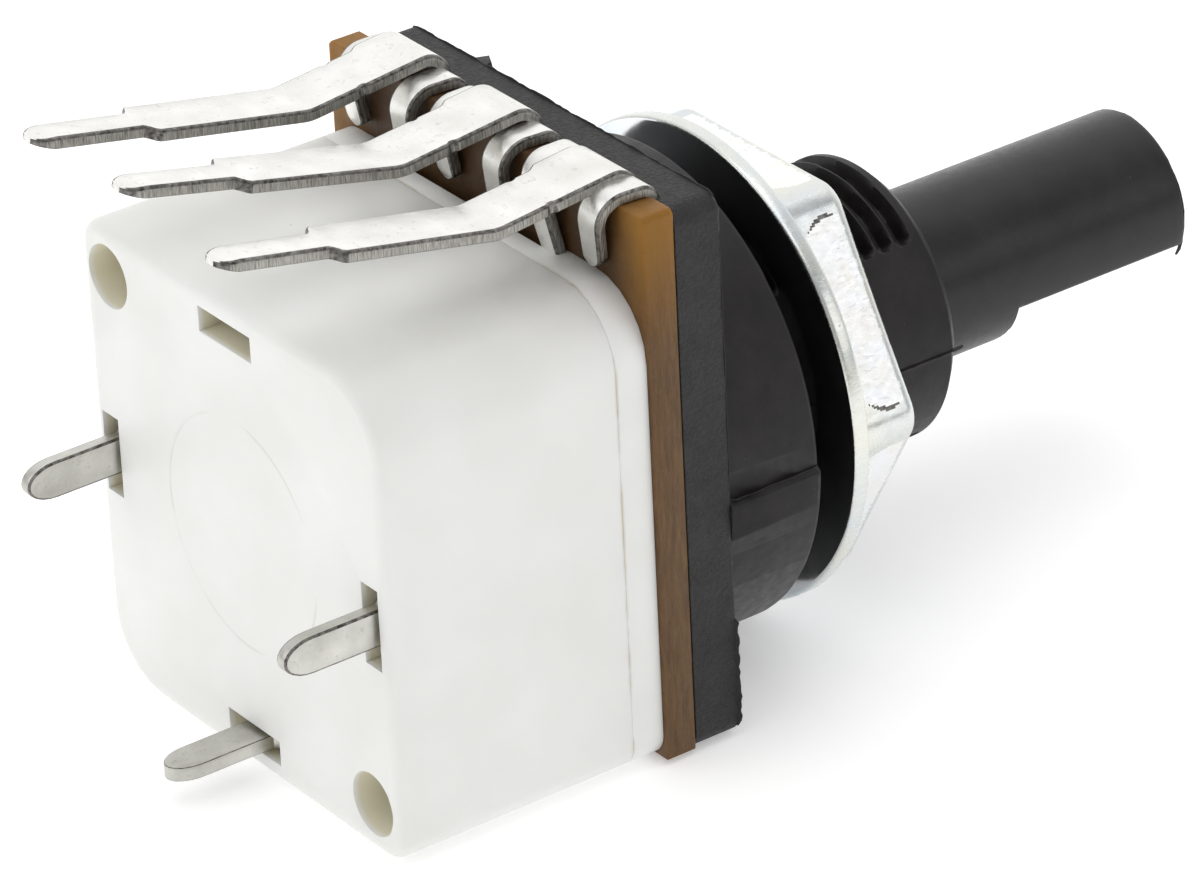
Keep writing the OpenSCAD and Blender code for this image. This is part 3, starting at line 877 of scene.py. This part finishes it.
# ---------------------------------------------------------------- shaft
def flat_distance(y):
    """Distance of the flat from the axis at depth y: the step's outer corner is rounded."""
    if y < FLAT_START:
        return FLAT_DISTANCE
    corner, clear_of_shaft = 0.7, SHAFT_R + 1
    t = (y - FLAT_START) / corner
    if t >= 1:
        return clear_of_shaft
    return SHAFT_R - corner + corner * math.sqrt(max(0.0, 1 - (1 - t) ** 2)) + 0.02 * t


def shaft_rows():
    """Depth and inset of each ring: rounded end, flat, rounded step and round part up to the bush."""
    end, hair = 0.16, 0.0005
    rows = []
    for k in range(5):
        t = math.radians(22.5 * k)
        rows.append((SHAFT_END + end * (1 - math.cos(t)), end * (1 - math.sin(t))))
    y = SHAFT_END + end + 0.3
    while y < FLAT_START - 0.1:
        rows.append((y, 0))
        y += 0.5
    rows.append((FLAT_START - hair, 0))
    for k in range(15):
        rows.append((FLAT_START + 0.05 * k + hair, 0))
    rows.append((BUSH_END - 0.5, 0))
    rows.append((BUSH_END - 0.04, 0))
    return rows


def shaft_tip_flash():
    """Fine flash around the round part of the shaft's end."""
    r, y = 2.93, SHAFT_END + 0.08
    route = []
    for degrees in range(-38, 212, 6):
        x, z = math.cos(math.radians(degrees)), math.sin(math.radians(degrees))
        route.append(((r * x, y, r * z), (x, -0.8, z)))
    return flash("tip_flash", route, 0.035, 0.05, 77)


def shaft():
    """The shaft in front of the bush, joined to the rest of the CAD node."""
    rings = []
    for y, inset in shaft_rows():
        rings.append(round_ring(lambda a, y=y, i=inset: shaft_radius(a, y, i), y, 256))
    front = loft("control_shaft", rings)
    back = keep_behind(copy_of("shaft", "shaft_back"), BUSH_END - 0.045)
    join(front, [back, shaft_tip_flash()])
    smooth(front, 30)
    dress(front, "spindle", "shaft_plastic", SHAFT_BLACK)
    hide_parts("shaft")
    return front


def shaft_radius(a, y, inset):
    """The shaft's radius at angle a, cut off by the flat."""
    under_cad = 0.012
    r = SHAFT_R - inset - under_cad
    away = math.cos(a - FLAT_ANGLE)
    if away > 0.01:
        r = min(r, (flat_distance(y) - inset) / away)
    return r


# ---------------------------------------------------------------- track terminals
def ease(t):
    """Runs smoothly from 0 to 1 while t does."""
    return t * t * (3 - 2 * t)


def root_shoulder(s):
    """How much the blade widens towards +X near its root."""
    wider, until, over = 0.24, 5.6, 0.45
    return wider * ease(max(0.0, min(1.0, (until - s) / over)))


def blade_width(s, total):
    """Half the blade's width at distance s from its root: step to the solder tip and rounded end."""
    wide, tip, tip_length, end = 1.12, 0.64, 4.3, 0.75
    step_at = total - tip_length
    w = wide
    if s > step_at:
        w = wide + (tip - wide) * ease(min(1.0, (s - step_at) / 0.35))
    if total - s < end:
        t = 1 - (total - s) / end
        w = tip * math.sqrt(max(0.02, 1 - (0.96 * t) ** 2.4))
    return w


def blade(name, x, drop, slope):
    """The blade comes up in front of the board, bends back over its edge and rises to the solder tip."""
    crest = PLATE_TOP + 0.96 - drop
    low = PLATE_TOP + 0.42 - drop
    bend_y = BOARD_BACK + 3.9
    end_y = REAR + 3.45
    tip_z = low + (end_y - bend_y) * slope
    line = smooth_path([(FOOT_Y, 8.1, 0), (FOOT_Y, crest, 0.78), (bend_y, low, 1.8), (end_y, tip_z, 0)])
    along = distances(line)
    total = along[-1]
    path = []
    for p, s in zip(line, along):
        to_tip = total - s
        notch = 0.07 if abs(to_tip - 12.0) < 0.14 else 0.0
        half_t = 0.2 if to_tip > 0.7 else 0.2 - 0.11 * (1 - to_tip / 0.7)
        shoulder = root_shoulder(s) / 2
        path.append((p.x, p.y, x + shoulder, blade_width(s, total) - notch + shoulder, half_t))
    return ribbon(name, path, stamped_section)


def claw_place(share, x_root, x_top, x_tip):
    """Where the claw's middle is in X, by the share of its length: from root to top and on to the tip."""
    top_at = 0.55
    if share < top_at:
        return x_root + (x_top - x_root) * min(1, share / top_at)
    return x_top + (x_tip - x_top) * (share - top_at) / 0.45


def claw(name, x_root, x_top, x_tip, reach):
    """A claw that comes up in front of the board, curls over its edge and leans in as it comes down."""
    crest = PLATE_TOP + 0.36
    back = BOARD_BACK + 0.22
    corners = [(FOOT_Y, 8.6, 0), (FOOT_Y, crest, 0.5), (back + 0.52, crest, 0.8), (back, reach, 0)]
    line = smooth_path(corners, 0.1)
    along = distances(line)
    total = along[-1]
    path = []
    for p, s in zip(line, along):
        share = s / total
        half = 0.56 - 0.10 * max(0, share - 0.6) / 0.4
        end = total - s
        if end < 0.3:
            half *= math.sqrt(max(0.1, 1 - (1 - end / 0.3) ** 2))
        path.append((p.x, p.y, claw_place(share, x_root, x_top, x_tip), half, 0.19))
    return ribbon(name, path, stamped_section)


def terminal(node, x, drop, slope, claw_tip=(1.72, 8.85)):
    """A blade and two claws on one foot; claw_tip is the tip of the +X claw as (x from the middle, z)."""
    main = blade(node + "_detail", x, drop, slope)
    plus_claw = claw("claw_a", x + 1.8, x + 1.78, x + claw_tip[0], claw_tip[1])
    minus_claw = claw("claw_b", x - 1.75, x - 1.5, x - 0.95, 8.75)
    foot = mesh_box("terminal_base", (x - 2.35, PLATE_BACK - 0.39, 8.0), (x + 2.35, PLATE_BACK - 0.01, 9.4))
    join(main, [plus_claw, minus_claw, foot])
    mark_edges(main)
    smooth(main, 38)
    dress(main, "housing", "tin_plate", TIN, SHEARED, EDGE_SHADE)
    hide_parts(node)
    return main


def mark_edges(obj):
    """Sheared faces look along X; the narrow rounded edges beside them get painted shade."""
    plated, sheared_side, painted_edge_shade = 0, 1, 2
    for polygon in obj.data.polygons:
        lean = abs(polygon.normal.x)
        if lean > 0.93:
            polygon.material_index = sheared_side
        # painted shade on the narrow rounded edges
        elif lean > 0.25:
            polygon.material_index = painted_edge_shade
        else:
            polygon.material_index = plated


def mesh_box(name, low, high):
    """A plain box between two corners."""
    (x0, y0, z0), (x1, y1, z1) = low, high
    ring = [(x0, z0), (x1, z0), (x1, z1), (x0, z1)]
    return loft(name, [[(x, y0, z) for x, z in ring], [(x, y1, z) for x, z in ring]])


# ---------------------------------------------------------------- nodes softened from their CAD shape
def soften(node, body, slot, rules, materials):
    """A CAD node's own shape with its edges rounded by the rules of bevel_where()."""
    obj = copy_of(node, node + "_detail")
    bevel_where(obj, rules)
    smooth(obj)
    dress(obj, body, slot, *materials)
    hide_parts(node)
    return obj


def anywhere(_point):
    """The rule that takes every sharp edge."""
    return True


def on_box_outline(p, low, high, tolerance=0.02):
    """Whether a point lies on the rounded outline of the switch box."""
    inside_x = min(p.x - low.x, high.x - p.x)
    inside_z = min(p.z - low.z, high.z - p.z)
    if inside_x < tolerance or inside_z < tolerance:
        return True
    small_corner, large_corner = 0.9, 2.5
    r = small_corner if (p.x > 0) == (p.z > 0) else large_corner
    cx = (high.x - r) if p.x > 0 else (low.x + r)
    cz = (high.z - r) if p.z > 0 else (low.z + r)
    outside = (p.x - cx) * p.x > 0 and (p.z - cz) * p.z > 0
    return outside and abs(math.hypot(p.x - cx, p.z - cz) - r) < 0.06


def switch_housing():
    """The box: a rounded rear rim, a fine front rim and softened openings."""
    low, high = SWITCH_LOW, SWITCH_HIGH

    def rear_rim(p):
        return abs(p.y - REAR) < 0.02 and on_box_outline(p, low, high)

    def front_rim(p):
        return abs(p.y - SEAM) < 0.02 and on_box_outline(p, low, high)

    def rear_openings(p):
        return abs(p.y - REAR) < 0.02 and not on_box_outline(p, low, high, 0.5)

    return soften("switch_housing", "housing", "white_plastic",
                  [(rear_rim, 0.38, 4), (front_rim, 0.03, 2), (rear_openings, 0.06, 2)], [WHITE])


def switch_cover():
    """The cover with finely rounded rims."""
    def rims(p):
        return on_box_outline(p, COVER_LOW, COVER_HIGH)

    return soften("switch_cover", "housing", "white_plastic", [(rims, 0.03, 2)], [WHITE])


def track_board():
    """The board with barely rounded edges."""
    return soften("track_board", "housing", "board", [(anywhere, 0.05, 2)], [BOARD])


def hexagon_radius(a):
    """The nut's rounded hexagon, and the angle from the middle of the nearest facet."""
    flat, corner_r = 7.0, 1.1
    off = (math.degrees(a) % 60) - 30
    from_corner = math.radians(30 - abs(off))
    centre = (flat - corner_r) / math.cos(math.radians(30))
    radius = flat / math.cos(math.radians(off))
    if from_corner < math.radians(4.05):
        aside = centre * math.sin(from_corner)
        radius = centre * math.cos(from_corner) + math.sqrt(corner_r ** 2 - aside ** 2)
    return radius, off


def rounded_inset(depth, edge):
    """How far a surface lies inside its edge rounding at the given depth from the end."""
    if depth >= edge:
        return 0.0
    return edge - math.sqrt(max(0.0, edge ** 2 - (edge - depth) ** 2))


def nut_rings():
    """The outside of the nut from front to bearing face: depth, inset, and radius where it is round."""
    front, back = NUT_LOW.y, NUT_HIGH.y
    collar_front, collar_r = back - 0.6, NUT_HIGH.x
    front_edge, collar_edge, facet_rings = 0.42, 0.14, 40
    rings = []
    for k in range(9):
        depth = front_edge * (1 - math.cos(math.radians(11.25 * k)))
        rings.append((front + depth, rounded_inset(depth, front_edge), None))
    for k in range(1, facet_rings + 1):
        rings.append((front + front_edge + (collar_front - front - front_edge) * k / facet_rings, 0.0, None))
    for k in range(5):
        depth = collar_edge * (1 - math.cos(math.radians(22.5 * k)))
        rings.append((collar_front + depth, rounded_inset(depth, collar_edge), collar_r))
    for k in range(5):
        depth = collar_edge * (1 - math.cos(math.radians(22.5 * (4 - k))))
        rings.append((back - depth, rounded_inset(depth, collar_edge), collar_r))
    return rings


def nut_radius(a, inset, fixed):
    """The nut's radius at angle a: round where fixed is a radius, a hexagon where it is None."""
    return (fixed or hexagon_radius(a)[0]) - inset


def mounting_nut():
    """The nut, a rounded hexagon on a round collar, with a plain hole."""
    rings = []
    for y, inset, fixed in nut_rings():
        rings.append(round_ring(lambda a, i=inset, f=fixed: nut_radius(a, i, f), y, 720))
    obj = loft("mounting_nut_detail", rings)
    bore = tube("nut_bore", BUSH_R + 0.05, NUT_LOW.y - 1, NUT_HIGH.y + 1, 160)
    combine(obj, bore, "DIFFERENCE")
    for polygon in obj.data.polygons:
        polygon.material_index = nut_finish(polygon)
    smooth(obj, 28)
    dress(obj, "nut", "zinc_plate", ZINC, ZINC_FACE, BURNISHED, EDGE_SHADE)
    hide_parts("mounting_nut")
    return obj


def nut_finish(polygon):
    """Index of plain plate, bearing face, burnished middle of a facet, or painted shade at a facet's end."""
    plain, bearing, bright, painted_corner_shade = 0, 1, 2, 3
    p = polygon.center / MM
    if polygon.normal.y > 0.9 and p.y > NUT_HIGH.y - 0.01:
        return bearing
    depth = p.y - NUT_LOW.y
    if math.hypot(p.x, p.z) < 6.7 or not 0.30 < depth < 2.4:
        return plain
    angle = math.atan2(p.z, p.x)
    off = abs(hexagon_radius(angle)[1])
    end = 24.6 - 1.9 * ((depth - 0.8) / 0.9) ** 2
    ragged = 0.05 * math.sin(9 * p.x + 7 * p.z) + 0.03 * math.sin(23 * p.x - 17 * p.z)
    if off < end:
        return bright if depth > 0.42 + ragged else plain
    # painted shade at the ends of every other facet, where the corner rounding begins
    every_other = int(math.degrees(angle) % 360 / 60) % 2 == 0
    width = 1.1 * (1 - ((depth - 1.2) / 0.62) ** 2)
    return painted_corner_shade if every_other and off < end + width else plain


def switch_pin(node, broad):
    """broad is the axis that the pin's wide faces look along: 0 for X, 2 for Z."""
    plated, painted_edge_shade = 0, 1
    obj = soften(node, "housing", "tin_plate", [(anywhere, 0.1, 2)], [DULL_TIN, EDGE_SHADE])
    # the narrow rounded edges get painted shade
    for polygon in obj.data.polygons:
        lean = abs(polygon.normal[broad])
        polygon.material_index = painted_edge_shade if 0.25 < lean < 0.93 else plated
    return obj


# ---------------------------------------------------------------- pieces inside, which keep their CAD shape
def inner_nodes():
    """Gives the CAD nodes inside their materials."""
    resin = plain_plastic("acetal_natural", (0.62, 0.58, 0.48), (0.70, 0.67, 0.58))
    grey = plain_plastic("grey_nylon", (0.05, 0.05, 0.055), (0.08, 0.08, 0.085))
    bronze = plain_metal("spring_bronze", (0.62, 0.40, 0.20), (0.75, 0.52, 0.28))
    silver = plain_metal("contact_silver", (0.80, 0.79, 0.77), (0.90, 0.89, 0.87), (0.2, 0.3))
    carbon = ink("carbon_ink", (0.012, 0.012, 0.013), (0.03, 0.03, 0.032), 0.0)
    silver_ink = ink("silver_ink", (0.55, 0.55, 0.53), (0.72, 0.72, 0.70), 0.8)
    looks = {"rotor": resin, "switch_cam": resin, "rocker": grey, "wiper": bronze, "click_spring": bronze,
             "contact_clip": bronze, "moving_contacts": silver, "fixed_contact_left": silver,
             "fixed_contact_right": silver, "carbon_track": carbon, "track_end_pads": silver_ink,
             "collector_ring": silver_ink}
    for node, material in looks.items():
        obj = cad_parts[node]
        obj.data.materials.clear()
        obj.data.materials.append(material)


# ---------------------------------------------------------------- studio
def floor():
    """A pale sweep: a flat floor just under the part."""
    s = Shader("pale_floor")
    s.colour(s.mix(s.range(s.noise(0.02, 2), 0.3, 0.7), (0.90, 0.90, 0.90), (0.93, 0.93, 0.93)))
    s.roughness(s.range(s.noise(0.05, 2), 0.3, 0.7, 0.7, 0.8))
    s.surface.inputs["Emission Color"].default_value = (1, 1, 1, 1)
    s.surface.inputs["Emission Strength"].default_value = 0.33
    half, z = 1.5, cad_box[0].z - 0.0001
    corners = [(-half, -half, z), (half, -half, z), (half, half, z), (-half, half, z)]
    mesh = bpy.data.meshes.new("floor")
    mesh.from_pydata(corners, [], [(0, 1, 2, 3)])
    obj = bpy.data.objects.new("floor", mesh)
    obj.data.materials.append(s.material)
    bpy.context.scene.collection.objects.link(obj)


def area_light(name, at, size, power):
    """A square light that looks at the part."""
    lamp = bpy.data.lights.new(name, "AREA")
    lamp.shape = "SQUARE"
    lamp.size = size
    lamp.energy = power
    obj = bpy.data.objects.new(name, lamp)
    obj.location = at
    obj.rotation_mode = "QUATERNION"
    obj.rotation_quaternion = (-Vector(at)).to_track_quat("-Z", "Y")
    bpy.context.scene.collection.objects.link(obj)


def world_light():
    """Even studio light, brighter from the side of +X and -Y."""
    world = bpy.data.worlds.new("studio")
    world.use_nodes = True
    tree = world.node_tree
    background = tree.nodes["Background"]
    background.inputs["Color"].default_value = (1, 1, 1, 1)
    direction = tree.nodes.new("ShaderNodeTexCoord")
    towards = tree.nodes.new("ShaderNodeVectorMath")
    towards.operation = "DOT_PRODUCT"
    towards.inputs[1].default_value = (0.72, -0.65, 0.25)
    tree.links.new(direction.outputs["Generated"], towards.inputs[0])
    level = tree.nodes.new("ShaderNodeMapRange")
    level.inputs["From Min"].default_value = 0.1
    level.inputs["From Max"].default_value = 0.8
    level.inputs["To Min"].default_value = 0.47
    level.inputs["To Max"].default_value = 1.12
    tree.links.new(towards.outputs["Value"], level.inputs["Value"])
    tree.links.new(level.outputs["Result"], background.inputs["Strength"])
    bpy.context.scene.world = world


def lights():
    """The world and three soft boxes."""
    world_light()
    bpy.context.scene.view_settings.view_transform = "Standard"
    area_light("top_box", (-0.05, 0.02, 0.5), 0.5, 0.7)
    area_light("left_box", (0.15, 0.40, 0.25), 0.35, 0.42)
    area_light("right_box", (-0.38, -0.24, 0.19), 0.22, 0.13)


def camera():
    """Behind, to the right and above, with a long lens, a little rolled."""
    azimuth, elevation, roll = 234.945, 28.774, -2.84
    distance = 0.2413
    aim = Vector((0.00036, 0.00248, -0.00206))
    a, e = math.radians(azimuth), math.radians(elevation)
    back = Vector((math.sin(a) * math.cos(e), -math.cos(a) * math.cos(e), math.sin(e)))
    data = bpy.data.cameras.new("camera")
    data.lens = 221.18
    data.sensor_width = 36
    data.clip_start = 0.01
    data.clip_end = 20
    obj = bpy.data.objects.new("camera", data)
    obj.location = aim + back * distance
    obj.rotation_mode = "QUATERNION"
    look = (-back).to_track_quat("-Z", "Y")
    obj.rotation_quaternion = look @ Quaternion((0, 0, 1), math.radians(roll))
    bpy.context.scene.collection.objects.link(obj)
    bpy.context.scene.camera = obj


camera()
floor()
lights()
front_housing()
shaft()
mounting_nut()
track_board()
switch_cover()
switch_housing()
terminal("terminal_left", TERMINAL_PITCH, 0.0, 0.205)
terminal("terminal_centre", 0.0, 0.05, 0.235)
terminal("terminal_right", -TERMINAL_PITCH, 0.3, 0.205, claw_tip=(1.2, 8.1))
switch_pin("switch_pin_left", 0)
switch_pin("switch_pin_right", 0)
switch_pin("switch_pin_common", 2)
inner_nodes()
